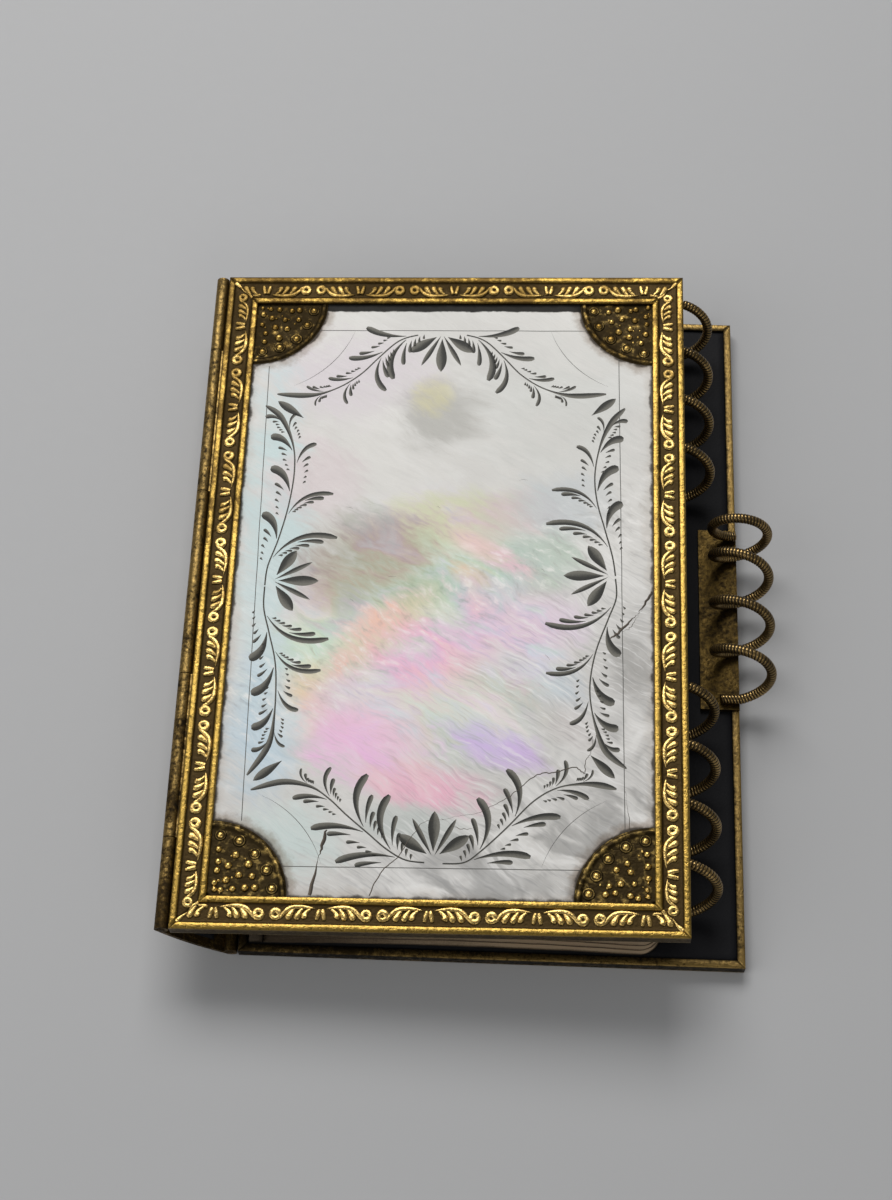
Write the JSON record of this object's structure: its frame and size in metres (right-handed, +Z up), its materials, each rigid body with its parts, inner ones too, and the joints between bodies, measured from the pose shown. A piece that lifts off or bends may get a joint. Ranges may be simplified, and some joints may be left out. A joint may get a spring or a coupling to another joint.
{
  "type": "aide memoire case",
  "caption": "Small book-form aide memoire case: gilt frames round mother-of-pearl plaques, a hinged spine, wire coils on the fore-edges that line up when shut, and paper leaves inside.",
  "frame": {"origin": "under the middle of the case's bounding box, on the plane that the back cover lies on", "axes": "+X from the spine towards the fore-edges, +Y towards the head of the case, +Z up from the back cover towards the front cover"},
  "size_m": [0.0756, 0.093, 0.0134],
  "materials": {
    "gilt": "stamped, bright fillets",
    "pearled_gilt": "pearled, worn",
    "hinge_gilt": "worn gilt",
    "worn_brass": "worn, stained",
    "wound_wire": "wire wound with finer wire, dark bronze",
    "mother_of_pearl": "polished nacre with engraving",
    "pasteboard": "matt",
    "lining": "dark navy, matt",
    "guard_cloth": "sewn strip",
    "paper": "aged cream"
  },
  "bodies": {
    "back_cover": {"back_strip_spine_side": "gilt", "back_strip_fore": "gilt", "back_strip_head": "gilt", "back_strip_tail": "gilt", "back_corner_head_spine": "pearled_gilt", "back_corner_head_fore": "pearled_gilt", "back_corner_tail_spine": "pearled_gilt", "back_corner_tail_fore": "pearled_gilt", "back_plaque": "mother_of_pearl", "back_board": "pasteboard", "back_lining": "lining", "back_knuckles": "hinge_gilt", "back_coil_plate": "worn_brass", "back_coil": "wound_wire", "guard": "guard_cloth", "leaf_1": "paper", "leaf_2": "paper", "leaf_3": "paper"},
    "spine": {"spine": "hinge_gilt", "spine_doublure": "lining", "back_pin": "hinge_gilt", "front_pin": "hinge_gilt"},
    "front_cover": {"front_strip_spine_side": "gilt", "front_strip_fore": "gilt", "front_strip_head": "gilt", "front_strip_tail": "gilt", "front_corner_head_spine": "pearled_gilt", "front_corner_head_fore": "pearled_gilt", "front_corner_tail_spine": "pearled_gilt", "front_corner_tail_fore": "pearled_gilt", "front_plaque": "mother_of_pearl", "front_board": "pasteboard", "front_lining": "lining", "front_knuckles": "hinge_gilt", "front_coil_plate_head": "worn_brass", "front_coil_plate_tail": "worn_brass", "front_coil_head": "wound_wire", "front_coil_tail": "wound_wire"},
    "upper_leaves": {"leaf_4": "paper", "leaf_5": "paper"}
  },
  "joints": [
    {"name": "spine_fold", "type": "hinge", "parent": "back_cover", "child": "spine", "pos_m": [-0.0294, 0, 0.001], "axis": [0, -1, 0], "range_deg": [0, 47]},
    {"name": "cover_open", "type": "hinge", "parent": "spine", "child": "front_cover", "pos_m": [-0.037, 0, 0.00915], "axis": [0, -1, 0], "range_deg": [0, 129.9]},
    {"name": "leaf_turn", "type": "hinge", "parent": "back_cover", "child": "upper_leaves", "pos_m": [-0.02538, 0, 0.00315], "axis": [0, -1, 0], "range_deg": [0, 77.94]}
  ],
  "couplings": [
    {"joint": "leaf_turn", "follows": "cover_open", "ratio": 0.6}
  ]
}
